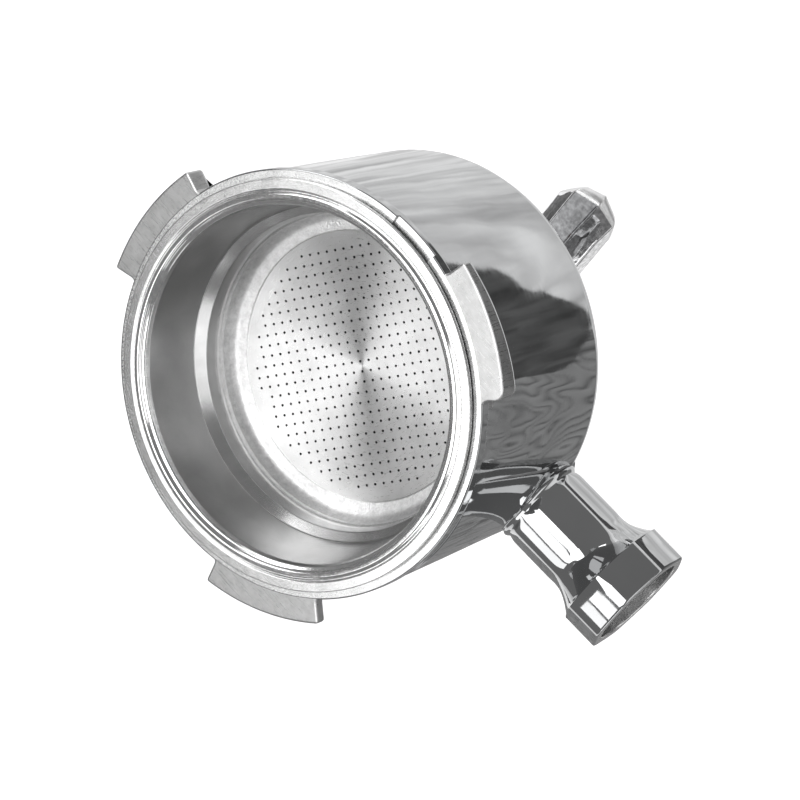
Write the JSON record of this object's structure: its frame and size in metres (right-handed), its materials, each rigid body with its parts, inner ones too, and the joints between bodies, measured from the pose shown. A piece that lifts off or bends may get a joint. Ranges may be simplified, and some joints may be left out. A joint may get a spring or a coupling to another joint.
{
  "type": "portafilter head",
  "caption": "Chromed coffee filter holder head with bayonet lugs, lift-out perforated filter basket, empty octagonal handle socket and a screw-on double spout.",
  "frame": {"origin": "centre of the basket's mouth, in the plane of the basket flange, which is the face that seals on the group", "axes": "+Z out of the mouth towards the group, +X along the handle neck away from the cup, the two spout arms along +Y and -Y"},
  "size_m": [0.1014, 0.0792, 0.0713],
  "materials": {
    "body_chrome": "mirror chrome on cast brass, with ground lug faces and a turned rim ring",
    "basket_steel": "satin pressed stainless steel, circular brushing on the floor, matt blasted corner ring",
    "wire_steel": "plain spring wire",
    "washer_fibre": "pressed red fibre",
    "spout_chrome": "mirror chrome on cast brass"
  },
  "bodies": {
    "holder": {"holder_body": "body_chrome", "basket_retaining_wire": "wire_steel"},
    "basket": {"filter_basket": "basket_steel"},
    "seal": {"spout_washer": "washer_fibre"},
    "spout": {"spout_body": "spout_chrome"}
  },
  "joints": [
    {"name": "basket_lift", "type": "slide", "parent": "holder", "child": "basket", "axis": [0, 0, 1], "range_m": [0, 0.03]},
    {"name": "seal_drop", "type": "slide", "parent": "holder", "child": "seal", "axis": [0, 0, -1], "range_m": [0, 0.00802]},
    {"name": "spout_unscrew", "type": "hinge", "parent": "seal", "child": "spout", "pos_m": [0, 0, -0.049], "axis": [0, 0, -1], "range_deg": [0, 2160]}
  ],
  "couplings": [
    {"joint": "seal_drop", "follows": "spout_unscrew", "m_per_rad": 0.00021279}
  ]
}
